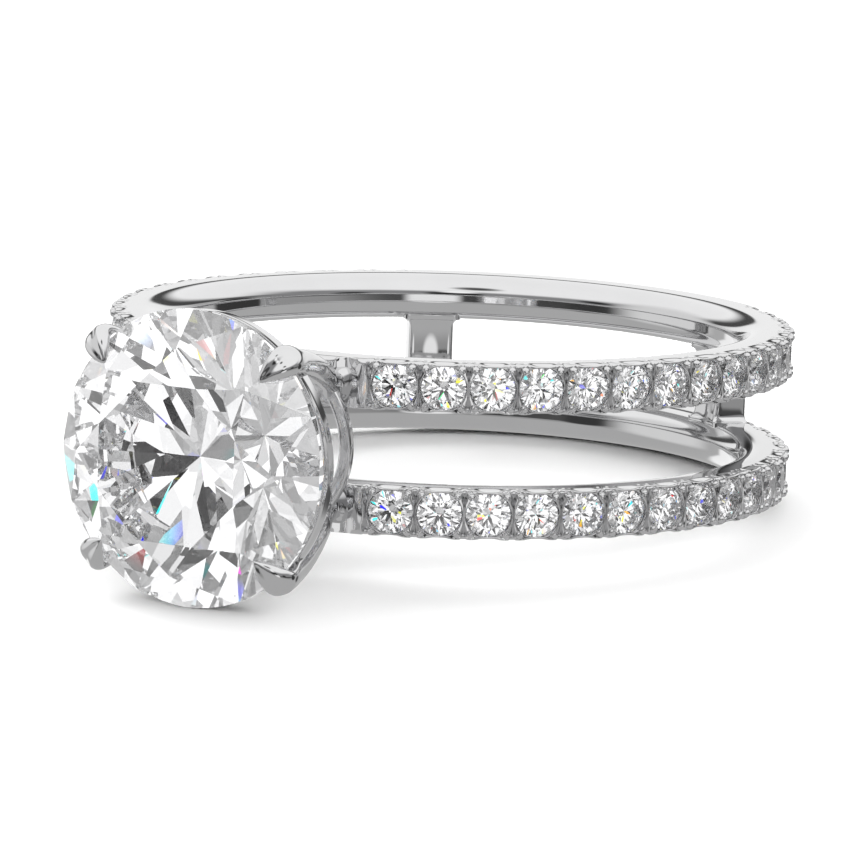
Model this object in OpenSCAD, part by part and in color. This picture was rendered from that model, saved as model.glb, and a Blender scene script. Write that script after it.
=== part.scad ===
// Ring with a round stone on a double shank: two parallel bands set with small stones,
// joined by the head at the front and by two plain posts at the back.
// It is modelled as it lies: on the lower edge of the stone and the back of the lower band.

/* [Finger opening] */
// Inside diameter of both bands at their narrowest
finger_d = 16.9; // [15:0.1:20]

/* [Bands] */
// Thickness of each band from the finger to the tables of its stones
band_t = 1.55; // [1.4:0.05:2.2]
// Clear distance between the two bands
band_gap = 2.12; // [1.6:0.02:3]
// Metal left between a stone's seat and the side of the band
seat_wall = 0.055; // [0.04:0.005:0.2]
// Rounding of each band's outer edges
edge_r = 0.12; // [0.06:0.01:0.2]
// Depth by which the domed inside is flattened to a cylinder
land_depth = 0.02; // [0.01:0.005:0.06]

/* [Small stones] */
// Diameter of each small stone
pave_d = 1.25; // [1.1:0.01:1.32]
// Number of small stones on each arm of a band
pave_count = 16; // [4:1:17]
// Distance between the girdles of neighbouring small stones
pave_gap = 0.105; // [0.1:0.005:0.16]
// Clearance between a small stone and its seat
pave_clear = 0.02; // [0.01:0.005:0.03]
// Plain length of band between the collar and the first cut
shoulder_l = 0.85; // [0.8:0.05:3]
// Radius of the scoop across each shoulder
scoop_r = 0.35; // [0.3:0.05:0.6]
// Depth of the scoop
scoop_t = 0.12; // [0.05:0.01:0.2]
// Distance around the band from the middle of the scoop to the first cut
scoop_lead = 0.49; // [0.45:0.01:0.6]
// Width of the cut between two stones at the band's surface
cut_w = 0.18; // [0.12:0.01:0.2]
// Depth of the cut between two stones
cut_t = 0.3; // [0.2:0.02:0.4]

/* [Back posts] */
// Width of each post around the band
post_w = 1.43; // [0.8:0.05:2.5]
// Distance around the band from the last cut to the middle of the post
post_lead = 0.69; // [0.65:0.05:3]
// Depth of each post's outer face below the surface of the bands
post_outer_step = 0.15; // [0.05:0.05:0.4]
// Depth of each post's inner face above the finger opening
post_inner_step = 0.35; // [0.1:0.05:0.6]
// Radius of the fillets where a post meets the bands
post_fillet = 0.2; // [0.1:0.05:0.4]

/* [Centre stone] */
// Diameter of the centre stone
stone_d = 8.17; // [7:0.01:9]
// Distance from the bands' surface to the tip of the centre stone
culet_lift = 0.63; // [0.5:0.05:2]
// Clearance between the centre stone and the metal
stone_clear = 0.03; // [0.02:0.01:0.06]

/* [Cut of the stones] */
// Angle of the crown facets to the girdle
crown_angle = 34.5; // [30:0.5:38]
// Angle of the pavilion facets to the girdle
pavilion_angle = 40.8; // [39:0.2:43]
// Width of the table as a share of the diameter
table_share = 0.57; // [0.5:0.01:0.66]
// Thickness of the girdle as a share of the diameter
girdle_share = 0.03; // [0.02:0.005:0.05]
// Length of the star facets as a share of the way from table to girdle
star_share = 0.5; // [0.4:0.05:0.6]
// Length of the lower halves as a share of the way from girdle to culet
half_share = 0.77; // [0.7:0.01:0.85]

/* [Head] */
// Outside diameter of the collar on the bands
collar_d = 5.24; // [4.6:0.02:5.8]
// Wall of the collar
collar_wall = 0.36; // [0.3:0.02:0.8]
// Height of the collar
collar_h = 0.26; // [0.2:0.02:0.5]
// Distance from the bands' surface at the front to the collar
collar_lift = 0.04; // [0.01:0.01:0.3]
// Distance from the girdle's edge in to the rail's outside
rail_inset = 0.08; // [0.02:0.01:0.4]
// Height of the rail
rail_h = 0.62; // [0.3:0.02:0.9]
// Distance from the girdle's middle down to the rail's upper edge
rail_drop = 0.2; // [0.15:0.01:0.5]
// Wall of the rail at its lower edge
rail_wall = 0.55; // [0.4:0.01:0.9]
// Depth of each leg's foot below the surface of the bands
leg_sink = 0.5; // [0.4:0.05:0.7]
// Diameter of each leg
leg_d = 0.8; // [0.6:0.02:1]
// Radius of the curve that each leg follows out from the collar
leg_curve_r = 18; // [10:1:60]
// Distance that the legs stand out past the collar at its height
leg_step = 0.28; // [0.1:0.02:0.4]
// Diameter of each claw at the girdle
claw_d = 0.96; // [0.9:0.02:1.2]
// Distance that the claws stand out past the girdle
claw_out = 0.5; // [0.3:0.02:0.8]
// Diameter of each claw at its tip
claw_tip_d = 0.3; // [0.2:0.02:0.5]
// Length of each claw's reach in over the stone from the girdle's edge
claw_reach = 0.62; // [0.4:0.02:1]
// Height of each claw's tip above the girdle's middle
claw_h = 0.66; // [0.5:0.02:0.9]

/* [Hidden] */
$fn = 64;
past = 0.5;
cone_share = 0.95;

finger_r = finger_d / 2;
outer_r = finger_r + band_t;
pave_r = pave_d / 2;
seat_r = pave_r + pave_clear;
band_w = 2 * (seat_r + seat_wall);
band_z = (band_gap + band_w) / 2;
dome_r = band_w / 2;
dome_centre = finger_r - land_depth + dome_r;

stone_r = stone_d / 2;
facets = 8;
half_step = 180 / facets;

function girdle_half(d) = d * girdle_share / 2;
function crown_h(d) = tan(crown_angle) * d / 2 * (1 - table_share);
function pavilion_h(d) = tan(pavilion_angle) * d / 2;

girdle_h = outer_r + culet_lift + pavilion_h(stone_d) + girdle_half(stone_d);
pave_girdle_r = outer_r - crown_h(pave_d) - girdle_half(pave_d);
pave_step = (pave_d + pave_gap) / pave_girdle_r * 180 / PI;

collar_r = collar_d / 2;
collar_theta = asin(sqrt(pow(collar_r, 2) - pow(band_z, 2)) / outer_r);
arc_per_mm = 180 / PI / outer_r;
first_cut = collar_theta + shoulder_l * arc_per_mm;
scoop_theta = first_cut - scoop_lead * arc_per_mm;
first_stone = first_cut + pave_step / 2;
last_cut = first_cut + pave_count * pave_step;
post_theta = last_cut + post_lead * arc_per_mm;

support_back = [outer_r - edge_r, -band_z - band_w / 2 + edge_r];
support_front = [girdle_half(stone_d) - girdle_h, -stone_r];
support = support_back - support_front;
rest_tilt = atan2(support[1], support[0]) - asin(edge_r / norm(support));
table_h = girdle_h + girdle_half(stone_d) + crown_h(stone_d);
front_y = -table_h * cos(rest_tilt) - stone_r * table_share * sin(rest_tilt);
back_y = outer_r * cos(rest_tilt) + (band_z + band_w / 2) * sin(rest_tilt);
rest_y = -(front_y + back_y) / 2;
rest_z = support_front[0] * sin(rest_tilt) - support_front[1] * cos(rest_tilt);

// Tilts the ring until it lies on the floor, with its middle over the origin
module at_rest() {
    translate([0, rest_y, rest_z]) rotate([-rest_tilt, 0, 0]) children();
}

// Puts a thing that stands along +Z on the ring, pointing away from the finger
module around_ring(a, z) {
    rotate([0, 0, a]) translate([0, 0, z]) rotate([90, 0, 0]) children();
}

// The two bands, each with a domed inside and rounded outer edges
module band_section() {
    difference() {
        union() {
            translate([dome_centre, 0]) circle(r = dome_r);
            translate([dome_centre, -dome_r])
                square([outer_r - edge_r - dome_centre, band_w]);
            translate([dome_centre, edge_r - dome_r])
                square([outer_r - dome_centre, band_w - 2 * edge_r]);
            for (side = [-1, 1])
                translate([outer_r - edge_r, side * (dome_r - edge_r)]) circle(r = edge_r);
        }
        translate([finger_r - past, -band_w]) square([past, 2 * band_w]);
    }
}

module band(z) {
    translate([0, 0, z]) rotate_extrude() band_section();
}

// Angles of the stones and of the cuts between them on the right arm
function pave_angles() = [for (i = [0:pave_count - 1]) first_stone + i * pave_step];
function cut_angles() = [for (i = [0:pave_count]) first_cut + i * pave_step];

// The hole that a small stone sits in, with its girdle at the origin
module pave_seat() {
    depth = pavilion_h(pave_d) + girdle_half(pave_d) + pave_clear / cos(pavilion_angle);
    rotate_extrude() polygon([
        [0, -depth],
        [seat_r, seat_r * tan(pavilion_angle) - depth],
        [seat_r, past],
        [0, past]
    ]);
}

// The cut that parts two stones, with the band's surface at the origin
module pave_cut() {
    rotate([90, 0, 0]) linear_extrude(height = band_w + past, center = true) polygon([
        [-cut_w / 2, past],
        [-cut_w / 2, -cut_t / 2],
        [-cut_w / 4, -cut_t],
        [cut_w / 4, -cut_t],
        [cut_w / 2, -cut_t / 2],
        [cut_w / 2, past]
    ]);
}

// The scoop across a shoulder, with the band's surface at the origin
module shoulder_scoop() {
    translate([0, 0, scoop_r - scoop_t]) rotate([90, 0, 0])
        cylinder(r = scoop_r, h = band_w + past, center = true);
}

module pave_cuts(z) {
    for (side = [-1, 1]) {
        around_ring(side * scoop_theta, z) translate([0, 0, outer_r]) shoulder_scoop();
        for (a = pave_angles()) around_ring(side * a, z) translate([0, 0, pave_girdle_r]) pave_seat();
        for (a = cut_angles()) around_ring(side * a, z) translate([0, 0, outer_r]) pave_cut();
    }
}

// A post between the bands at the back, with fillets where it meets them
module post_face() {
    notch = band_gap + post_fillet / 10;
    difference() {
        square([post_w + 2 * post_fillet, band_gap + band_w], center = true);
        for (side = [-1, 1]) {
            translate([side * (post_w / 2 + past), 0])
                square([2 * past, notch - 2 * post_fillet], center = true);
            translate([side * (post_w / 2 + post_fillet + past), 0])
                square([2 * past, notch], center = true);
            for (end = [-1, 1])
                translate([side * (post_w / 2 + post_fillet), end * (notch / 2 - post_fillet)])
                    circle(r = post_fillet);
        }
    }
}

module post(side) {
    intersection() {
        around_ring(side * post_theta, 0) linear_extrude(height = outer_r + past) post_face();
        difference() {
            cylinder(r = outer_r - post_outer_step, h = band_gap + band_w, center = true);
            cylinder(r = finger_r + post_inner_step, h = band_gap + 2 * band_w, center = true);
        }
    }
}

// Head: a collar on the bands, four legs, a rail under the girdle and four claws
module along_stone() {
    rotate([90, 0, 0]) children();
}

module collar() {
    along_stone() translate([0, 0, outer_r + collar_lift]) difference() {
        cylinder(r = collar_r, h = collar_h);
        translate([0, 0, -past]) cylinder(r = collar_r - collar_wall, h = collar_h + 2 * past);
    }
}

module rail() {
    outside = stone_r - rail_inset;
    along_stone() translate([0, 0, girdle_h - rail_drop - rail_h]) difference() {
        cylinder(r = outside, h = rail_h);
        translate([0, 0, -past]) cylinder(r = outside - rail_wall, h = rail_h + 2 * past);
    }
}

// A round tube along an arc between two points of the plane through the stone's axis
module bowed_bar(from, to, tube_r, curve_r) {
    run = to - from;
    chord = norm(run);
    bow = asin(chord / 2 / curve_r);
    translate([from[0], 0, from[1]]) rotate([0, atan2(run[0], run[1]), 0])
        translate([-curve_r * cos(bow), 0, chord / 2]) rotate([90, 0, 0]) rotate([0, 0, -bow])
            rotate_extrude(angle = 2 * bow) translate([curve_r, 0]) circle(r = tube_r);
}

// A cone that tapers to a round tip, between two points of the same plane
module claw_tip(from, to, from_r, to_r) {
    run = to - from;
    translate([from[0], 0, from[1]]) rotate([0, atan2(run[0], run[1]), 0])
        cylinder(r1 = from_r, r2 = to_r * cone_share, h = norm(run));
    translate([to[0], 0, to[1]]) sphere(r = to_r);
}

module leg_and_claw() {
    knuckle_r = claw_d / 2;
    tip_r = claw_tip_d / 2;
    foot = [collar_r + leg_step - leg_d / 2, outer_r + collar_lift - leg_sink];
    knuckle = [stone_r + claw_out - knuckle_r, girdle_h];
    tip = [stone_r - claw_reach + tip_r, girdle_h + claw_h - tip_r];
    bowed_bar(foot, knuckle, leg_d / 2, leg_curve_r);
    translate([knuckle[0], 0, knuckle[1]]) sphere(r = knuckle_r);
    claw_tip(knuckle, tip, knuckle_r * cone_share, tip_r);
}

// The space that the centre stone takes in the metal
module stone_space() {
    r = stone_r + stone_clear;
    half = girdle_half(stone_d) + stone_clear;
    along_stone() translate([0, 0, girdle_h]) rotate_extrude() polygon([
        [0, -half - r * tan(pavilion_angle)],
        [r, -half],
        [r, half],
        [r * table_share, half + r * (1 - table_share) * tan(crown_angle)],
        [0, half + r * (1 - table_share) * tan(crown_angle)]
    ]);
}

module head() {
    difference() {
        union() {
            collar();
            rail();
            for (a = [45:90:315]) along_stone() rotate([0, 0, a]) leg_and_claw();
        }
        stone_space();
    }
}

module mounting() {
    color("silver") at_rest() difference() {
        union() {
            band(band_z);
            band(-band_z);
            post(-1);
            post(1);
            head();
        }
        pave_cuts(band_z);
        pave_cuts(-band_z);
    }
}

// A round brilliant with its girdle's middle at the origin and its table up
// Points go round at every half step; arcs of the girdle are split into a number of parts
// It is turned by a half step, so that two sides of its table lie along the finger
module brilliant(d, parts) {
    r = d / 2;
    g = girdle_half(d);
    count = 2 * facets * parts;
    table_r = r * table_share;
    star_r = table_r * cos(half_step) * (1 - star_share) + r * star_share;
    star_z = g + tan(crown_angle) * (r - star_r * cos(half_step));
    tip_r = r * (1 - half_share);
    tip_z = -g - tan(pavilion_angle) * (r - tip_r * cos(half_step));
    chord = cos(half_step / 2);
    crown_dip = (star_z - g) / ((r - star_r) * chord);
    pavilion_dip = (-g - tip_z) / ((r - tip_r) * chord);
    function bulge(i) = r * (cos((i % parts) * half_step / parts - half_step / 2) - chord);
    function ring(n, radius, z, start) =
        [for (i = [0:n - 1]) [radius * cos(start + i * 360 / n), radius * sin(start + i * 360 / n), z]];
    function girdle(z, dip) = [for (i = [0:count - 1])
        let (a = i * half_step / parts) [r * cos(a), r * sin(a), z - dip * bulge(i)]];
    points = concat(
        ring(facets, table_r, g + crown_h(d), 0),
        ring(facets, star_r, star_z, half_step),
        girdle(g, crown_dip),
        girdle(-g, -pavilion_dip),
        ring(facets, tip_r, tip_z, half_step),
        [[0, 0, -g - pavilion_h(d)]]
    );
    star = facets;
    upper = 2 * facets;
    lower = upper + count;
    half = lower + count;
    culet = half + facets;
    side = 2 * parts;
    faces = concat(
        [[for (i = [facets - 1:-1:0]) i]],
        [for (i = [0:facets - 1]) [i, (i + 1) % facets, star + i]],
        [for (i = [0:facets - 1]) [i, star + i, upper + i * side, star + (i + facets - 1) % facets]],
        [for (i = [0:facets - 1], s = [0, 1])
            concat([star + i], [for (k = [parts:-1:0]) upper + (i * side + s * parts + k) % count])],
        [for (i = [0:count - 1])
            [upper + i, upper + (i + 1) % count, lower + (i + 1) % count, lower + i]],
        [for (i = [0:facets - 1], s = [0, 1])
            concat([half + i], [for (k = [0:parts]) lower + (i * side + s * parts + k) % count])],
        [for (i = [0:facets - 1]) [culet, half + (i + facets - 1) % facets, lower + i * side, half + i]]
    );
    rotate([0, 0, half_step]) polyhedron(points, faces);
}

module centre_stone() {
    color("white") at_rest() along_stone() translate([0, 0, girdle_h]) brilliant(stone_d, 4);
}

module pave_row(side, z) {
    color("white") at_rest() for (a = pave_angles())
        around_ring(side * a, z) translate([0, 0, pave_girdle_r]) brilliant(pave_d, 1);
}

module upper_pave_right() {
    pave_row(1, band_z);
}

module upper_pave_left() {
    pave_row(-1, band_z);
}

module lower_pave_right() {
    pave_row(1, -band_z);
}

module lower_pave_left() {
    pave_row(-1, -band_z);
}

mounting();
centre_stone();
upper_pave_right();
upper_pave_left();
lower_pave_right();
lower_pave_left();
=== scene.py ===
"""A ring of two parallel bands with a round centre stone, dressed for the render around its CAD model.

Ring coordinates are in mm, with the finger along Z and the centre stone towards -Y, and angles about
the finger are in degrees from the stone towards +X. world() takes them to the frame, in metres.
"""
import math

import bpy
import numpy as np
from mathutils import Matrix, Vector

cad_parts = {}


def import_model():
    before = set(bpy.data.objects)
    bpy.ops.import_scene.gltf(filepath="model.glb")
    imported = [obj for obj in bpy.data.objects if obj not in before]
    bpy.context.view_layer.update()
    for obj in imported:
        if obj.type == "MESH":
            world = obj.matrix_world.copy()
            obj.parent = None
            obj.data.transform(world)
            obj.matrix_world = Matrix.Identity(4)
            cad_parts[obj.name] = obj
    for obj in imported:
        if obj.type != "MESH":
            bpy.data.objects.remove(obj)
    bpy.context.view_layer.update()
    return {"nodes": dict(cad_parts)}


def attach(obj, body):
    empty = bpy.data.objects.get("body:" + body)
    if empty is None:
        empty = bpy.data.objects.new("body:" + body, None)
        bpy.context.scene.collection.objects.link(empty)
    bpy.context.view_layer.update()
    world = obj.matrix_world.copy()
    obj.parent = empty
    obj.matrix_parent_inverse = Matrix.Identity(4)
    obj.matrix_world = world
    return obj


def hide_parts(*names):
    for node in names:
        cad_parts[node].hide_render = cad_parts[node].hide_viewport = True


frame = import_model()

# Sizes as in the CAD
FINGER_R = 8.45  # finger opening
OUTER_R = 10.0  # outside of the bands
BAND_Z = 1.76  # middle of a band from the middle of the ring
GAP_HALF = 1.06  # half the space between the bands
EDGE_R = 0.12  # round on a band's outer edges
DOME_R = 0.70  # round of a band's inner side, and half its width
DOME_C = 9.13  # middle of that round from the finger's axis
CELL = 7.92481  # angle from one small stone to the next
FIRST_CUT = 16.0613  # angle of the cut before the first small stone
LAST_CUT = 142.858  # angle of the cut after the last one
POST_ANGLE = 146.812
COUNT = 16  # small stones on each arm of a band
STONE_R = 4.085
GIRDLE_H = 14.2786  # top of the centre stone's girdle from the finger's axis
GIRDLE_T = 0.1526  # height of the girdle
PAVILION = math.radians(40.8)

# The ring as it lies: its turn about X and its middle
TILT = math.radians(3.86704)
REST_Y = 2.79339
REST_Z = 3.12099
CT, ST = math.cos(TILT), math.sin(TILT)
MM = 0.001


def world(p):
    """Ring coordinates to the frame."""
    p = np.asarray(p, float).reshape(-1, 3)
    return np.stack([
        p[:, 0],
        p[:, 1] * CT + p[:, 2] * ST + REST_Y,
        -p[:, 1] * ST + p[:, 2] * CT + REST_Z,
    ], 1) * MM


def turn(v):
    """A direction in ring coordinates, in the frame."""
    return Vector((v[0], v[1] * CT + v[2] * ST, -v[1] * ST + v[2] * CT))


# Camera: where it stands as azimuth, height and distance, its turns in degrees, and its focal length
# over the picture's width
CAMERA_AZ, CAMERA_EL, CAMERA_FAR = 28.96, 8.885, 145.0
CAMERA_YAW, CAMERA_PITCH, CAMERA_ROLL = -0.277, -0.345, 2.037
CAMERA_FOCAL = 4906.9 / 850
CAMERA_SENSOR = 36
CAMERA_CLIP = (0.01, 10)


def place_camera():
    az, el = math.radians(CAMERA_AZ), math.radians(CAMERA_EL)
    yaw, pitch, roll = (math.radians(x) for x in (CAMERA_YAW, CAMERA_PITCH, CAMERA_ROLL))
    out = Vector((math.sin(az) * math.cos(el), -math.cos(az) * math.cos(el), math.sin(el)))
    fwd = -out
    right = fwd.cross(Vector((0, 0, 1))).normalized()
    up = right.cross(fwd).normalized()
    fwd = (fwd + right * math.tan(yaw) + up * math.tan(pitch)).normalized()
    right = fwd.cross(up).normalized()
    up = right.cross(fwd).normalized()
    right, up = (
        right * math.cos(roll) + up * math.sin(roll),
        up * math.cos(roll) - right * math.sin(roll),
    )
    cam = bpy.data.cameras.new("view")
    cam.sensor_width = CAMERA_SENSOR
    cam.lens = CAMERA_FOCAL * CAMERA_SENSOR
    cam.clip_start, cam.clip_end = CAMERA_CLIP
    ob = bpy.data.objects.new("view", cam)
    bpy.context.collection.objects.link(ob)
    r, u, b = turn(right), turn(up), -turn(fwd)
    at = world(np.array(out) * CAMERA_FAR)[0]
    ob.matrix_world = Matrix((
        (r[0], u[0], b[0], at[0]),
        (r[1], u[1], b[1], at[1]),
        (r[2], u[2], b[2], at[2]),
        (0, 0, 0, 1),
    ))
    bpy.context.scene.camera = ob


# Meshes
WELD = 1e7  # steps to the metre within which two vertices are one


class Shape:
    """Vertices and faces of one piece, gathered from several grids and tubes."""

    def __init__(self):
        self.v, self.f, self.n = [], [], 0

    def grid(self, p, closed_a=False, closed_b=False):
        """A grid of points, p[a][b], closed over a or b."""
        p = np.asarray(p, float)
        na, nb = p.shape[:2]
        ids = np.arange(na * nb).reshape(na, nb) + self.n
        a = np.arange(na if closed_a else na - 1)
        b = np.arange(nb if closed_b else nb - 1)
        a, b = np.meshgrid(a, b, indexing="ij")
        a2, b2 = (a + 1) % na, (b + 1) % nb
        self.v.append(p.reshape(-1, 3))
        self.f.append(np.stack([ids[a, b], ids[a2, b], ids[a2, b2], ids[a, b2]], -1).reshape(-1, 4))
        self.n += na * nb
        return ids

    def cap(self, ids, centre):
        """Closes a ring of vertices with a fan to a point."""
        self.v.append(np.asarray(centre, float).reshape(1, 3))
        c = self.n
        self.n += 1
        ids = np.asarray(ids)
        nxt = np.roll(ids, -1)
        self.f.append(np.stack([ids, nxt, np.full_like(ids, c), np.full_like(ids, c)], 1))

    def build(self, name, sharp=None, weld=True):
        """The object, smooth but for edges of more than the angle sharp."""
        v = world(np.concatenate(self.v))
        f = np.concatenate(self.f)
        if weld:
            key = np.round(v * WELD).astype(np.int64)
            _, first, back = np.unique(key, axis=0, return_index=True, return_inverse=True)
            v, f = v[first], back.reshape(-1)[f]
        faces = []
        for q in f.tolist():
            keep = list(dict.fromkeys(q))
            if len(keep) > 2:
                faces.append(keep)
        me = bpy.data.meshes.new(name)
        me.from_pydata(v.tolist(), [], faces)
        me.validate()
        me.polygons.foreach_set("use_smooth", [True] * len(me.polygons))
        if sharp:
            me.set_sharp_from_angle(angle=math.radians(sharp))
        me.update()
        ob = bpy.data.objects.new(name, me)
        bpy.context.collection.objects.link(ob)
        return ob


def smooth(t):
    t = np.clip(t, 0, 1)
    return t * t * (3 - 2 * t)


def rise(t, start, over):
    """0 before start and 1 past start + over, smooth between."""
    return smooth((t - start) / over)


def spin(p, angle):
    """Turns points about the finger by an angle."""
    a = math.radians(angle)
    c, s = math.cos(a), math.sin(a)
    x, y = p[..., 0], p[..., 1]
    return np.stack([x * c - y * s, x * s + y * c, p[..., 2]], -1)


def spline(points, t):
    """A smooth curve through points, at parameters t from 0 to len(points) - 1."""
    p = np.asarray(points, float)
    n = len(p)
    m = np.zeros_like(p)
    m[1:-1] = (p[2:] - p[:-2]) / 2
    m[0], m[-1] = p[1] - p[0], p[-1] - p[-2]
    i = np.clip(np.floor(t).astype(int), 0, n - 2)
    f = (t - i)[:, None]
    return (
        p[i] * (2 * f ** 3 - 3 * f ** 2 + 1) + m[i] * (f ** 3 - 2 * f ** 2 + f)
        + p[i + 1] * (-2 * f ** 3 + 3 * f ** 2) + m[i + 1] * (f ** 3 - f ** 2))


# Bands. A band's outline is followed by the arc length s from the middle of its outside: these are
# the ends of the outer flat, the edge's round, the side and the inner round, and the middle inside
S_FLAT = DOME_R - EDGE_R
S_EDGE = S_FLAT + EDGE_R * math.pi / 2
S_SIDE = S_EDGE + (OUTER_R - EDGE_R - DOME_C)
DOME_END = math.asin((DOME_C - FINGER_R) / DOME_R)
S_DOME = S_SIDE + DOME_R * DOME_END
INNER_HALF = DOME_R * math.cos(DOME_END)
S_INNER = S_DOME + INNER_HALF
# The cells round the small stones reach this far along the outline, with this many rows and columns
S_CELL = S_EDGE + 0.42
ROWS, COLS = 30, 22
S_ROWS = np.linspace(-S_CELL, S_CELL, ROWS + 1)
DOME_STEPS = 9
BAND_SHARP = 50

# Cuts between the small stones: depth and half width in the middle, what both gain towards the
# sides, and where along s they gain it and where the cut ends, as (start, over)
CUT_T, CUT_T_MORE, CUT_DEEPENS = 0.11, 0.05, (0.25, 0.2)
CUT_W, CUT_W_MORE, CUT_WIDENS = 0.060, 0.055, (0.20, 0.25)
CUT_ENDS = (0.60, 0.30)
CUT_SWELL, CUT_PINCH = 0.6, 0.4  # roundness of its walls
# The metal round the small stones lies a little lower than the edges, which dip beside each stone
LAND_T, LAND_ENDS = 0.055, (0.60, 0.09)
DIP_T, DIP_HALF, DIP_STARTS, DIP_ENDS = 0.045, 0.30, (0.60, 0.08), (0.78, 0.24)
# The seat under a small stone as radius and depth: a cone, a wall round the girdle, and the rounded
# rim, which follows the surface
SEAT = ((0.03, 0.74), (0.34, 0.50), (0.645, 0.235), (0.645, 0.12))
SEAT_RIM = ((0.646, 0.022), (0.650, 0.008), (0.662, 0.0))
SPREAD = (0.05, 0.11, 0.18, 0.26, 0.35, 0.45, 0.56, 0.67, 0.78, 0.89, 1.0)  # from rim to outline
# Scoop across each shoulder: half length, depth and distance from the first cut
SCOOP_HALF, SCOOP_T, SCOOP_LEAD = 0.46, 0.15, 0.66
# Finely divided ends of the plain stretches, in degrees, and steps in them and between them
SHOULDER_END, SHOULDER_FINE, SHOULDER_COARSE = 5.2, 53, 31
BACK_END, BACK_FINE, BACK_COARSE = 1.2, 13, 82


def arc(angle):
    """Length in mm of an angle on the band's outside."""
    return angle * math.pi / 180 * OUTER_R


def section(s):
    """The band's outline at s: distance from the finger's axis, z, and the normal."""
    s = np.asarray(s, float)
    side = np.where(s < 0, -1.0, 1.0)
    t = np.abs(s)
    a = np.clip((t - S_FLAT) / EDGE_R, 0, math.pi / 2)
    b = np.clip((t - S_SIDE) / DOME_R, 0, DOME_END)
    r = OUTER_R - EDGE_R + EDGE_R * np.cos(a) - np.clip(t - S_EDGE, 0, S_SIDE - S_EDGE)
    r = np.where(t > S_SIDE, DOME_C - DOME_R * np.sin(b), r)
    z = np.where(t < S_FLAT, t, S_FLAT + EDGE_R * np.sin(a))
    z = np.where(t > S_SIDE, DOME_R * np.cos(b), z)
    z = np.where(t > S_DOME, INNER_HALF - (t - S_DOME), z)
    nr = np.where(t > S_SIDE, -np.sin(b), np.cos(a))
    nz = np.where(t > S_SIDE, np.cos(b), np.sin(a))
    nr = np.where(t > S_DOME, -1.0, nr)
    nz = np.where(t > S_DOME, 0.0, nz)
    return r, z * side, nr, nz * side


def cut_shape(s):
    """Depth and half width of a cut at s."""
    t = np.abs(s)
    depth = (CUT_T + CUT_T_MORE * rise(t, *CUT_DEEPENS)) * (1 - rise(t, *CUT_ENDS))
    return depth, CUT_W + CUT_W_MORE * rise(t, *CUT_WIDENS)


def relief(s, u, dist):
    """Height of the metal at s, at u along the band from a stone's middle and dist from a cut's."""
    depth, width = cut_shape(s)
    q = np.clip(np.abs(dist) / width, 0, 1)
    cut = -depth * (1 - q) * (1 + CUT_SWELL * q) * (1 - CUT_PINCH * q)
    t = np.abs(s)
    land = LAND_T * (1 - rise(t, *LAND_ENDS))
    dip = np.exp(-((u / DIP_HALF) ** 4)) * rise(t, *DIP_STARTS) * (1 - rise(t, *DIP_ENDS))
    return np.minimum(cut, -land - DIP_T * dip)


def on_band(angle, s, h, z0):
    """Points of the band at an angle, at s and at height h over its outline."""
    r, z, nr, nz = section(s)
    a = np.radians(angle)
    rr = r + h * nr
    return np.stack([rr * np.sin(a), -rr * np.cos(a), z + h * nz + z0], -1)


def below_cells():
    """Values of s from the cells' lower edge to the middle inside, and back on the other side."""
    half = [S_CELL, (S_CELL + S_SIDE) / 2, S_SIDE]
    half += [S_SIDE + DOME_R * DOME_END * k / DOME_STEPS for k in range(1, DOME_STEPS + 1)]
    half += [S_DOME + INNER_HALF * 0.5]
    return np.array(half + [S_INNER] + [-x for x in reversed(half)])


def plan_to_s(z):
    """The value of s at a distance z from the middle of the band's outside, seen from above."""
    z = np.asarray(z, float)
    t = np.abs(z)
    q = np.clip((t - S_FLAT) / EDGE_R, 0, 1)
    return np.sign(z) * np.where(t < S_FLAT, t, S_FLAT + EDGE_R * np.arcsin(q))


def pave_cell(shape, mid, z0):
    """The metal round one small stone: its seat and the surface out to the cuts and the sides."""
    half = CELL / 2
    edge = np.linspace(-half, half, COLS + 1)
    ring_a = np.concatenate([edge[:-1], np.full(ROWS, half), edge[:0:-1], np.full(ROWS, -half)])
    ring_s = np.concatenate([
        np.full(COLS, -S_CELL), S_ROWS[:-1], np.full(COLS, S_CELL), S_ROWS[:0:-1]])
    # direction from the stone's middle to each point of the cell's outline, seen from above
    along = np.sin(np.radians(ring_a)) / math.sin(math.radians(half))
    th = np.arctan2(ring_s / S_CELL, along)

    def surface(angle, s, u, drop=0.0):
        return on_band(angle + mid, s, relief(s, u, arc(half - np.abs(angle))) - drop, z0)

    rows = []
    for rad, drop in SEAT:
        u, z = rad * np.cos(th), rad * np.sin(th)
        rows.append(spin(np.stack([u, np.full_like(u, drop - OUTER_R), z + z0], -1), mid))
    for rad, drop in SEAT_RIM:
        u0 = rad * np.cos(th)
        a0 = np.degrees(np.arcsin(u0 / OUTER_R))
        s0 = plan_to_s(rad * np.sin(th))
        rows.append(surface(a0, s0, u0, drop))
    for f in SPREAD:
        a = a0 + (ring_a - a0) * f
        rows.append(surface(a, s0 + (ring_s - s0) * f, arc(a)))
    shape.grid(np.stack(rows), closed_b=True)


def under_side(shape, angles, z0):
    """The sides and the inside of the band, below the cells."""
    s = below_cells()
    shape.grid(np.stack([on_band(np.full_like(s, a), s, np.zeros_like(s), z0) for a in angles]))


def scoop(x):
    """Depth of the scoop at a distance from its middle."""
    return SCOOP_T * (1 - smooth(abs(x) / SCOOP_HALF))


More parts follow.
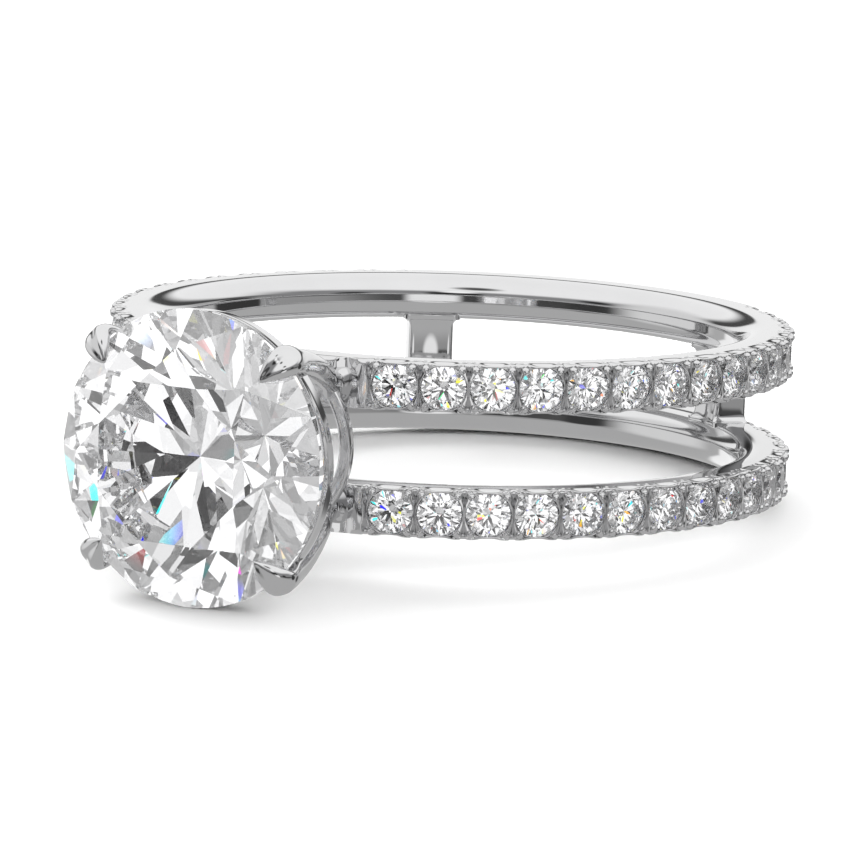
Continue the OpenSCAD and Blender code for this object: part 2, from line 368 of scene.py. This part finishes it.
def plain(shape, angles, z0, cuts, scoops=()):
    """A stretch of band without stones, between two cuts."""
    s = np.concatenate([S_ROWS, below_cells()[1:-1]])
    outside = np.arange(len(s)) < len(S_ROWS)
    depth, width = cut_shape(s)
    grid = []
    for a in angles:
        dist = arc(min(abs(a - c) for c in cuts))
        h = np.where(outside, -depth * (1 - smooth(dist / width)), 0.0)
        p = on_band(np.full_like(s, a), s, h, 0.0)
        r = np.hypot(p[:, 0], p[:, 1])
        limit = OUTER_R - max((scoop(arc(a - c)) for c in scoops), default=0.0)
        p[:, :2] *= np.where(outside, np.minimum(r, limit) / r, 1.0)[:, None]
        p[:, 2] += z0
        grid.append(p)
    shape.grid(np.stack(grid), closed_b=True)


def stretch(start, end, margin, fine, coarse):
    """Angles from start to end, closer together in the margin at either end."""
    return np.concatenate([
        np.linspace(start, start + margin, fine),
        np.linspace(start + margin, end - margin, coarse)[1:-1],
        np.linspace(end - margin, end, fine)])


def stone_angles():
    """Angles of the small stones of a band, first those of the right arm."""
    return [side * (FIRST_CUT + (i + 0.5) * CELL) for side in (1, -1) for i in range(COUNT)]


def make_band(name, z0):
    shape = Shape()
    for mid in stone_angles():
        pave_cell(shape, mid, z0)
        under_side(shape, mid + np.linspace(-CELL / 2, CELL / 2, COLS + 1), z0)
    at = FIRST_CUT - math.degrees(SCOOP_LEAD / OUTER_R)
    front = stretch(-FIRST_CUT, FIRST_CUT, SHOULDER_END, SHOULDER_FINE, SHOULDER_COARSE)
    plain(shape, front, z0, (FIRST_CUT, -FIRST_CUT), (at, -at))
    back = stretch(LAST_CUT, 360 - LAST_CUT, BACK_END, BACK_FINE, BACK_COARSE)
    plain(shape, back, z0, (LAST_CUT, 360 - LAST_CUT))
    return shape.build(name, sharp=BAND_SHARP)


# Bead prongs, four to a small stone: distances along the band, from the finger's axis and from the
# band's middle, and radius, of the foot and of the head
BEAD_FOOT = (0.525, 9.62, 0.640, 0.08)
BEAD_HEAD = (0.497, 9.965, 0.525, 0.112)
BEAD_SIDES, BEAD_RINGS = 14, 5
ASLANT = (0.3, 0.5, 0.81)  # a direction that no prong has


def capsule(shape, a, b, r0, r1):
    """A round-ended peg from a to b."""
    d = (b - a) / np.linalg.norm(b - a)
    x = np.cross(d, ASLANT)
    x /= np.linalg.norm(x)
    y = np.cross(d, x)
    t = np.arange(BEAD_SIDES) * 2 * math.pi / BEAD_SIDES
    circle = np.cos(t)[:, None] * x + np.sin(t)[:, None] * y
    turns = [math.pi / 2 * k / BEAD_RINGS for k in range(1, BEAD_RINGS + 1)]
    rows = [a - d * r0 * math.cos(q) + circle * r0 * math.sin(q) for q in turns]
    rows += [b + d * r1 * math.cos(q) + circle * r1 * math.sin(q) for q in reversed(turns)]
    ids = shape.grid(np.stack(rows), closed_b=True)
    shape.cap(ids[0][::-1], a - d * r0)
    shape.cap(ids[-1], b + d * r1)


def make_beads(name, z0):
    shape = Shape()
    for mid in stone_angles():
        for u in (-1, 1):
            for w in (-1, 1):
                p = np.array([[u * q[0], -q[1], w * q[2]] for q in (BEAD_FOOT, BEAD_HEAD)])
                foot, head = spin(p, mid) + [0, 0, z0]
                capsule(shape, foot, head, BEAD_FOOT[3], BEAD_HEAD[3])
    return shape.build(name, weld=False)


# Posts at the back
POST_HALF, POST_FLARE = 0.715, 0.22  # half width, and what it gains where a post meets a band
POST_IN, POST_IN_FLARE, POST_IN_CURVE = 8.80, 0.06, 0.10  # inner face, from the finger's axis
POST_OUT, POST_OUT_FLARE = 9.85, 0.03  # outer face
POST_DISH = 0.10  # depth of the inner face's hollow
POST_SQUARE = 0.28  # lower is squarer
POST_MID_R = 9.3  # where the width is measured
POST_FILLET, POST_FILLET_STEPS, POST_EASE = 0.24, 9, 1.4
POST_SIDES, POST_STEPS = 64, 7
POST_ENDS = (1.20, 1.36)  # inside the band
POST_SHARP = 60


def post_levels():
    fillet = POST_FILLET * np.linspace(0, 1, POST_FILLET_STEPS) ** POST_EASE
    straight = GAP_HALF - POST_FILLET
    return np.concatenate([
        [-z for z in reversed(POST_ENDS)], fillet - GAP_HALF,
        np.linspace(-straight, straight, POST_STEPS)[1:-1],
        (GAP_HALF - fillet)[::-1], POST_ENDS])


def make_posts(name):
    shape = Shape()
    t = np.arange(POST_SIDES) * 2 * math.pi / POST_SIDES
    across = np.sign(np.cos(t)) * np.abs(np.cos(t)) ** POST_SQUARE
    deep = np.sign(np.sin(t)) * np.abs(np.sin(t)) ** POST_SQUARE
    dish = POST_DISH * np.cos(np.clip(across, -1, 1) * math.pi / 2) * np.clip(-deep, 0, 1)
    rows = []
    for z in post_levels():
        d = np.clip((GAP_HALF - abs(z)) / POST_FILLET, 0, 1)
        flare = 1 - math.sqrt(1 - (1 - d) ** 2)
        up = min(abs(z), GAP_HALF) / GAP_HALF
        inner = POST_IN - POST_IN_FLARE * flare - POST_IN_CURVE * up ** 2
        outer = POST_OUT + POST_OUT_FLARE * flare
        r = (inner + outer) / 2 + (outer - inner) / 2 * deep + dish
        a = (POST_HALF + POST_FLARE * flare) * across / POST_MID_R
        rows.append(np.stack([r * np.sin(a), -r * np.cos(a), np.full_like(a, z)], -1))
    for side in (1, -1):
        p = spin(np.stack(rows), side * POST_ANGLE)
        ids = shape.grid(p, closed_b=True)
        shape.cap(ids[0][::-1], p[0].mean(0))
        shape.cap(ids[-1], p[-1].mean(0))
    return shape.build(name, sharp=POST_SHARP)


# Stations of a leg and its claw: distance from the stone's axis and height of the ridge,
# the same of the inner side, and the half width
LEG = (
    (3.02, 9.62, 1.90, 9.62, 0.56),
    (2.86, 10.00, 2.06, 10.00, 0.44),
    (3.02, 10.35, 2.28, 10.40, 0.37),
    (3.32, 10.85, 2.62, 10.92, 0.355),
    (3.68, 11.60, 3.00, 11.68, 0.355),
    (4.00, 12.35, 3.32, 12.42, 0.365),
    (4.24, 13.00, 3.58, 13.06, 0.385),
    (4.41, 13.55, 3.80, 13.60, 0.415),
    (4.53, 13.98, 4.04, 14.00, 0.445),
    (4.585, 14.28, 4.125, 14.28, 0.465),
    (4.55, 14.56, 4.08, 14.455, 0.460),
    (4.38, 14.80, 3.92, 14.565, 0.425),
    (4.12, 14.935, 3.76, 14.675, 0.345),
    (3.84, 14.985, 3.62, 14.770, 0.235),
    (3.58, 14.975, 3.50, 14.850, 0.115),
    (3.44, 14.940, 3.43, 14.900, 0.03),
)
LEG_STEPS = 121
# Half of its cross-section, from the ridge to the middle of the inner side: height and side
LEG_HALF = (
    (1.00, 0.00), (0.985, 0.17), (0.94, 0.36), (0.86, 0.56), (0.74, 0.75), (0.58, 0.90),
    (0.40, 0.98), (0.23, 0.98), (0.09, 0.88), (0.02, 0.68), (0.0, 0.44), (0.0, 0.20), (0.0, 0.0),
)
LEG_HALF_STEPS = 31
# The claw's top is a leaf with a raised rim round a shallow hollow: its depth and half width as parts
# of the section, between which stations it starts and ends, and above which height it lies
HOLLOW_T, HOLLOW_HALF, HOLLOW_STARTS, HOLLOW_ENDS, HOLLOW_FROM = 0.25, 0.48, (8.8, 2.0), (13.4, 1.3), 0.5
CLAW_ANGLES = (45, 135, 225, 315)
CLAW_SHARP = 32


def make_claws(name):
    shape = Shape()
    t = np.linspace(0, len(LEG) - 1, LEG_STEPS)
    hollow = HOLLOW_T * rise(t, *HOLLOW_STARTS) * (1 - rise(t, *HOLLOW_ENDS))
    half = spline(LEG_HALF, np.linspace(0, len(LEG_HALF) - 1, LEG_HALF_STEPS))
    loop = np.concatenate([half, (half * [1, -1])[-2:0:-1]])
    dish = np.exp(-((loop[:, 1] / HOLLOW_HALF) ** 2)) * (loop[:, 0] > HOLLOW_FROM)
    rows = []
    for (ro, ho, ri, hi, w), deep in zip(spline(LEG, t), hollow):
        o = np.array([ri, hi]) + (loop[:, :1] - deep * dish[:, None]) * np.array([ro - ri, ho - hi])
        rows.append(np.stack([o[:, 0], loop[:, 1] * w, o[:, 1]], -1))
    p = np.stack(rows)
    for corner in CLAW_ANGLES:
        a = math.radians(corner)
        x = p[..., 0] * math.cos(a) - p[..., 1] * math.sin(a)
        z = p[..., 0] * math.sin(a) + p[..., 1] * math.cos(a)
        q = np.stack([x, -p[..., 2], z], -1)
        ids = shape.grid(q, closed_b=True)
        shape.cap(ids[0], q[0].mean(0))
        shape.cap(ids[-1][::-1], q[-1].mean(0))
    return shape.build(name, sharp=CLAW_SHARP)


# Rail under the centre stone's girdle, and collar where the legs meet
RAIL_R, RAIL_LIP_R, RAIL_LIP_H = 4.005, 4.055, 0.22
RAIL_TOP, RAIL_LOW = GIRDLE_H - 0.25, GIRDLE_H - 0.82
RAIL_CLEAR, RAIL_CLEAR_TOP, RAIL_CLEAR_LOW, RAIL_ROUND = 0.04, 0.005, 0.10, 0.07
COLLAR_IN, COLLAR_OUT, COLLAR_LOW, COLLAR_TOP, COLLAR_ROUND = 2.26, 2.62, 10.04, 10.30, 0.06
TURNED_STEPS, TURNED_SHARP = 192, 50
CORNER_STEPS, CORNER_MOST = 6, 0.45


def revolve(shape, outline):
    """A closed outline of distance from the stone's axis and height, turned round the axis."""
    p = np.asarray(outline, float)
    a = np.arange(TURNED_STEPS) * 2 * math.pi / TURNED_STEPS
    g = np.stack([
        p[None, :, 0] * np.cos(a)[:, None],
        np.repeat(-p[None, :, 1], TURNED_STEPS, 0),
        p[None, :, 0] * np.sin(a)[:, None]], -1)
    shape.grid(g, closed_a=True, closed_b=True)


def rounded(points, r):
    """A closed outline with its corners rounded."""
    p = [np.array(q, float) for q in points]
    out = []
    for i, q in enumerate(p):
        a, b = p[i - 1] - q, p[(i + 1) % len(p)] - q
        la, lb = np.linalg.norm(a), np.linalg.norm(b)
        k = min(r, CORNER_MOST * la, CORNER_MOST * lb)
        s, e = q + a / la * k, q + b / lb * k
        for f in np.linspace(0, 1, CORNER_STEPS):
            out.append((1 - f) ** 2 * s + 2 * f * (1 - f) * q + f * f * e)
    return out


def make_rail(name):
    def inside(h):
        return STONE_R + RAIL_CLEAR - (GIRDLE_H - GIRDLE_T - h) / math.tan(PAVILION)

    shape = Shape()
    revolve(shape, rounded([
        (RAIL_LIP_R, RAIL_TOP), (RAIL_R, RAIL_TOP - RAIL_LIP_H), (RAIL_R, RAIL_LOW),
        (inside(RAIL_LOW) + RAIL_CLEAR_LOW, RAIL_LOW),
        (inside(RAIL_TOP) + RAIL_CLEAR_TOP, RAIL_TOP)], RAIL_ROUND))
    return shape.build(name, sharp=TURNED_SHARP)


def make_collar(name):
    shape = Shape()
    revolve(shape, rounded([
        (COLLAR_OUT, COLLAR_TOP), (COLLAR_OUT, COLLAR_LOW),
        (COLLAR_IN, COLLAR_LOW), (COLLAR_IN, COLLAR_TOP)], COLLAR_ROUND))
    return shape.build(name, sharp=TURNED_SHARP)


# Materials
GOLD_DARK, GOLD_LIGHT = (0.68, 0.68, 0.685, 1), (0.73, 0.73, 0.735, 1)
GOLD_SMOOTH, GOLD_ROUGH = 0.035, 0.075
GOLD_GRAIN, GOLD_DETAIL, GOLD_IOR = 900, 3, 1.5
DIAMOND_IOR = 2.42
FLOOR_COLOUR, FLOOR_ROUGH = (0.93, 0.93, 0.93, 1), 0.9


def new_material(name, **inputs):
    """A material and its shader, with constants set on the shader's own sockets."""
    m = bpy.data.materials.new(name)
    m.use_nodes = True
    shader = m.node_tree.nodes["Principled BSDF"]
    for key, value in inputs.items():
        shader.inputs[key.replace("_", " ")].default_value = value
    return m, shader


def white_gold():
    """Polished metal with fine changes of tone and roughness."""
    m, shader = new_material("polished_white_gold", Metallic=1.0, IOR=GOLD_IOR)
    new, link = m.node_tree.nodes.new, m.node_tree.links.new
    place = new("ShaderNodeTexCoord")
    grain = new("ShaderNodeTexNoise")
    grain.inputs["Scale"].default_value = GOLD_GRAIN
    grain.inputs["Detail"].default_value = GOLD_DETAIL
    link(place.outputs["Object"], grain.inputs["Vector"])
    rough = new("ShaderNodeMapRange")
    rough.inputs["To Min"].default_value = GOLD_SMOOTH
    rough.inputs["To Max"].default_value = GOLD_ROUGH
    link(grain.outputs["Fac"], rough.inputs["Value"])
    link(rough.outputs["Result"], shader.inputs["Roughness"])
    tone = new("ShaderNodeMix")
    tone.data_type = "RGBA"
    tone.inputs["A"].default_value = GOLD_DARK
    tone.inputs["B"].default_value = GOLD_LIGHT
    link(grain.outputs["Fac"], tone.inputs["Factor"])
    link(tone.outputs["Result"], shader.inputs["Base Color"])
    return m


def diamond(name):
    return new_material(
        name, Base_Color=(1, 1, 1, 1), Roughness=0.0, IOR=DIAMOND_IOR, Transmission_Weight=1.0)[0]


def pale_floor():
    return new_material(
        "pale_floor", Base_Color=FLOOR_COLOUR, Roughness=FLOOR_ROUGH, Specular_IOR_Level=0.0)[0]


def flat(v):
    return (v, v, v)


def cool(v):
    return (v, v, v * 1.01)


# The studio is a world without lamps. Levels along a height or a direction come in from one sine or
# cosine to another: (from, to, colour).
UP = (0, 0, 1)
TO_CAMERA = (0.485, -0.875, 0)
FROM_CAMERA = (-0.485, 0.875, 0)
TO_LEFT = (-0.95, -0.30, 0.05)
# As the metal sees it. Behind the ring a pale floor line, a dark strip and white above it; on the
# camera's side grey, a dark strip, a darker grey and white above it; and a pale wall on the left
LINE, LINE_LEVELS = flat(1.0), ((-0.93, -0.60, flat(0.50)),)
BEHIND_LOW, BEHIND_FROM, BEHIND_TO = flat(0.52), -0.16, -0.04
BEHIND_LEVELS = ((0.105, 0.14, flat(0.08)), (0.20, 0.34, flat(1.10)))
AHEAD_LOW = flat(0.52)
AHEAD_LEVELS = (
    (-0.35, -0.15, flat(0.36)), (-0.13, -0.09, flat(0.07)),
    (0.03, 0.08, (0.30, 0.30, 0.305)), (0.38, 0.62, flat(1.12)),
)
SIDES_FROM, SIDES_TO = -0.35, 0.35
LEFT_LEVELS = ((0.80, 0.95, flat(0.85)),)
# and round cards in it: direction, half width in degrees, brightness
METAL_CARDS = (
    ((0.770, 0.620, -0.120), 14, 0.05),
    ((0.300, 0.900, -0.300), 9, 0.10),
    ((-0.750, 0.600, -0.280), 12, 1.10),
    ((0.600, -0.795, -0.085), 10, 1.05),
    ((-0.478, -0.873, -0.096), 8, 0.05),
    ((0.472, -0.856, 0.212), 11, 0.03),
    ((0.42, -0.80, 0.43), 5, 1.4),
    ((0.95, -0.30, 0.12), 6, 0.03),
    ((-0.55, -0.83, 0.30), 6, 0.03),
    ((0.2, -0.6, 0.78), 6, 0.08),
)
METAL_EDGE = (0.012, 0.006)  # softness of their edges, outside and inside
# As it is seen through the stones: white about the horizon, grey above, below and behind
GEM_LOW = cool(0.56)
GEM_LEVELS = (
    (-0.36, -0.16, cool(1.25)), (-0.05, 0.05, cool(1.45)), (0.53, 0.60, cool(0.97)),
    (0.69, 0.74, cool(0.40)),
)
GEM_BEHIND = ((0.2, 0.6, cool(0.56)),)
# and round cards in it: azimuth from the stone's side towards +X and height in degrees, half width in
# degrees, brightness, and how far dispersion parts red and blue there. The large ones are furniture
# of the room, the small ones spots that break into colours, and the last is the camera
GEM_CARDS = (
    (108, -10, 36, 0.14, 0.35),
    (112, 30, 26, 0.22, 0.35),
    (88, 74, 15, 0.16, 0.35),
    (-30, 74, 14, 1.05, 0.35),
    (-38, 4, 6.5, 0.10, 0.35),
    (-38, 17, 6.5, 0.14, 0.35),
    (-38, 29, 6.0, 0.25, 0.35),
    (-68, -1, 11, 0.36, 0.35),
    (-12, 40, 9, 0.42, 0.35),
    (60, 40, 8, 0.44, 0.35),
    (50, -16, 8, 0.44, 0.35),
    (-8, -5, 5, 0.24, 0.35),
    (72, -5, 6, 0.22, 0.35),
    (-8, 4, 5, 0.24, 0.35),
    (5, 4, 6.5, 0.06, 0.35),
    (38, 5, 7, 0.05, 0.35),
    (2, 20, 0.6, 0.02, 0.6),
    (52, 20, 0.5, 0.02, 0.5),
    (36, 33, 0.5, 0.02, 0.5),
    (-56, 14, 0.6, 0.02, 0.6),
    (25, 10, 14.0, 0.012, 0.6),
)
GEM_EDGE = 0.15  # softness of their edges, in degrees
FALL = 0.4  # how far the colours part in height for their parting in azimuth
# As it lights the floor: a sky, brightest at the horizon, and glows low behind the ring: direction,
# half width in degrees, brightness
SKY_HORIZON, SKY_ALL = 2.9, 0.24
FLOOR_CARDS = (
    ((-0.875, 0.235, 0.423), 20, 7.8),
    ((-0.641, 0.641, 0.423), 30, 4.1),
    ((0.875, -0.235, 0.423), 20, 5.9),
)
FLOOR_EDGE = 0.03
BACKDROP = 1.2  # what the camera sees past the floor


class Nodes:
    """Nodes of the world, by what they work out."""

    def __init__(self, tree):
        self.new, self.link = tree.nodes.new, tree.links.new
        self.ray = self.new("ShaderNodeTexCoord").outputs["Generated"]

    def feed(self, socket, x):
        """Sets a socket to a constant, or links it to another."""
        if isinstance(x, bpy.types.NodeSocket):
            self.link(x, socket)
        elif isinstance(x, tuple) and len(socket.default_value) == 4:
            socket.default_value = (*x, 1)
        else:
            socket.default_value = x

    def dot(self, v):
        """The cosine between the ray and a direction."""
        n = self.new("ShaderNodeVectorMath")
        n.operation = "DOT_PRODUCT"
        n.inputs[1].default_value = Vector(v).normalized()
        self.link(self.ray, n.inputs[0])
        return n.outputs["Value"]

    def ramp(self, value, lo, hi):
        n = self.new("ShaderNodeMapRange")
        n.interpolation_type = "SMOOTHSTEP"
        n.inputs["From Min"].default_value = lo
        n.inputs["From Max"].default_value = hi
        self.link(value, n.inputs["Value"])
        return n.outputs["Result"]

    def number(self, op, *terms):
        n = self.new("ShaderNodeMath")
        n.operation = op
        for socket, x in zip(n.inputs, terms):
            self.feed(socket, x)
        return n.outputs[0]

    def vector(self, op, *terms):
        n = self.new("ShaderNodeVectorMath")
        n.operation = op
        for socket, x in zip(n.inputs, terms):
            self.feed(socket, x)
        return n.outputs[0]

    def mix(self, factor, a, b):
        n = self.new("ShaderNodeMix")
        n.data_type = "RGBA"
        for key, x in (("Factor", factor), ("A", a), ("B", b)):
            self.feed(n.inputs[key], x)
        return n.outputs["Result"]

    def levels(self, value, colour, levels):
        """A colour with levels laid over it one after the other."""
        for lo, hi, c in levels:
            colour = self.mix(self.ramp(value, lo, hi), colour, c)
        return colour

    def background(self, colour, strength):
        n = self.new("ShaderNodeBackground")
        self.feed(n.inputs["Color"], colour)
        n.inputs["Strength"].default_value = strength
        return n.outputs[0]


def metal_room(nodes):
    up, near = nodes.dot(UP), nodes.dot(TO_CAMERA)
    line = nodes.levels(near, LINE, LINE_LEVELS)
    behind = nodes.levels(up, BEHIND_LOW, ((BEHIND_FROM, BEHIND_TO, line),) + BEHIND_LEVELS)
    ahead = nodes.levels(up, AHEAD_LOW, AHEAD_LEVELS)
    room = nodes.mix(nodes.ramp(near, SIDES_FROM, SIDES_TO), behind, ahead)
    room = nodes.levels(nodes.dot(TO_LEFT), room, LEFT_LEVELS)
    for v, wide, level in METAL_CARDS:
        c = math.cos(math.radians(wide))
        card = (c - METAL_EDGE[0], c + METAL_EDGE[1], flat(level))
        room = nodes.levels(nodes.dot(v), room, (card,))
    return room


def gem_room(nodes):
    room = nodes.levels(nodes.dot(UP), GEM_LOW, GEM_LEVELS)
    room = nodes.levels(nodes.dot(FROM_CAMERA), room, GEM_BEHIND)
    for az, el, wide, level, part in GEM_CARDS:
        lo, hi = (math.cos(math.radians(wide + d)) for d in (GEM_EDGE, -GEM_EDGE))
        mask = nodes.new("ShaderNodeCombineXYZ")
        for channel, shift in enumerate((-part, 0, part)):
            a, e = math.radians(az + shift), math.radians(el - shift * FALL)
            v = (math.sin(a) * math.cos(e), -math.cos(a) * math.cos(e), math.sin(e))
            nodes.link(nodes.ramp(nodes.dot(v), lo, hi), mask.inputs[channel])
        gap = nodes.vector("SUBTRACT", cool(level), room)
        room = nodes.vector("MULTIPLY_ADD", mask.outputs[0], gap, room)
    return room


def floor_sky(nodes):
    up = nodes.dot(UP)
    low = nodes.number("SUBTRACT", 1.0, nodes.number("MULTIPLY", up, up))
    sky = nodes.number("MULTIPLY", nodes.number("MULTIPLY", low, low), SKY_HORIZON)
    sky = nodes.number("ADD", sky, SKY_ALL)
    for v, wide, level in FLOOR_CARDS:
        c = math.cos(math.radians(wide))
        card = nodes.ramp(nodes.dot(v), c - FLOOR_EDGE, c + FLOOR_EDGE)
        sky = nodes.number("ADD", sky, nodes.number("MULTIPLY", card, level))
    return sky


def make_studio():
    w = bpy.data.worlds.new("studio")
    bpy.context.scene.world = w
    w.use_nodes = True
    w.node_tree.nodes.clear()
    nodes = Nodes(w.node_tree)
    path = nodes.new("ShaderNodeLightPath").outputs
    through = nodes.number("MINIMUM", path["Transmission Depth"], 1.0)
    seen = nodes.mix(through, metal_room(nodes), gem_room(nodes))
    seen = nodes.mix(path["Is Diffuse Ray"], seen, floor_sky(nodes))
    both = nodes.new("ShaderNodeMixShader")
    nodes.link(path["Is Camera Ray"], both.inputs["Fac"])
    nodes.link(nodes.background(seen, 1.0), both.inputs[1])
    nodes.link(nodes.background(flat(1.0), BACKDROP), both.inputs[2])
    nodes.link(both.outputs[0], nodes.new("ShaderNodeOutputWorld").inputs["Surface"])


FLOOR_R, FLOOR_SIDES = 34 * MM, 128


def make_floor():
    """A pale disc. Reflections and the stones show the studio's own lower half in its place."""
    me = bpy.data.meshes.new("floor")
    turns = [2 * math.pi * k / FLOOR_SIDES for k in range(FLOOR_SIDES)]
    v = [(FLOOR_R * math.cos(t), FLOOR_R * math.sin(t), 0) for t in turns]
    me.from_pydata(v, [], [list(range(FLOOR_SIDES))])
    o = bpy.data.objects.new("floor", me)
    bpy.context.collection.objects.link(o)
    me.materials.append(pale_floor())
    o.visible_transmission = False
    o.visible_glossy = False


# With fewer bounces, light that is caught in the centre stone's side facets ends in black
STONE_BOUNCES, DIFFUSE_BOUNCES, CLAMP = 96, 3, 6.0


def set_light_paths():
    scene = bpy.context.scene
    scene.view_settings.view_transform = "Standard"
    scene.view_settings.look = "None"
    scene.cycles.max_bounces = STONE_BOUNCES
    scene.cycles.transmission_bounces = STONE_BOUNCES
    scene.cycles.glossy_bounces = STONE_BOUNCES
    scene.cycles.diffuse_bounces = DIFFUSE_BOUNCES
    scene.cycles.caustics_reflective = False
    scene.cycles.caustics_refractive = False
    scene.cycles.sample_clamp_indirect = CLAMP
    scene.cycles.blur_glossy = 0.0


place_camera()
make_floor()
make_studio()
set_light_paths()

gold = white_gold()
centre_cut = diamond("centre_diamond_cut")
pave_cut = diamond("pave_diamond_cut")

metal = (
    make_band("upper_band", BAND_Z),
    make_band("lower_band", -BAND_Z),
    make_beads("upper_beads", BAND_Z),
    make_beads("lower_beads", -BAND_Z),
    make_posts("back_posts"),
    make_claws("claws"),
    make_rail("rail"),
    make_collar("collar"),
)
for piece in metal:
    piece.data.materials.append(gold)
    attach(piece, "root")
    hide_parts("mounting")

for name, node in frame["nodes"].items():
    if name != "mounting":
        node.data.materials.clear()
        node.data.materials.append(centre_cut if name == "centre_stone" else pave_cut)
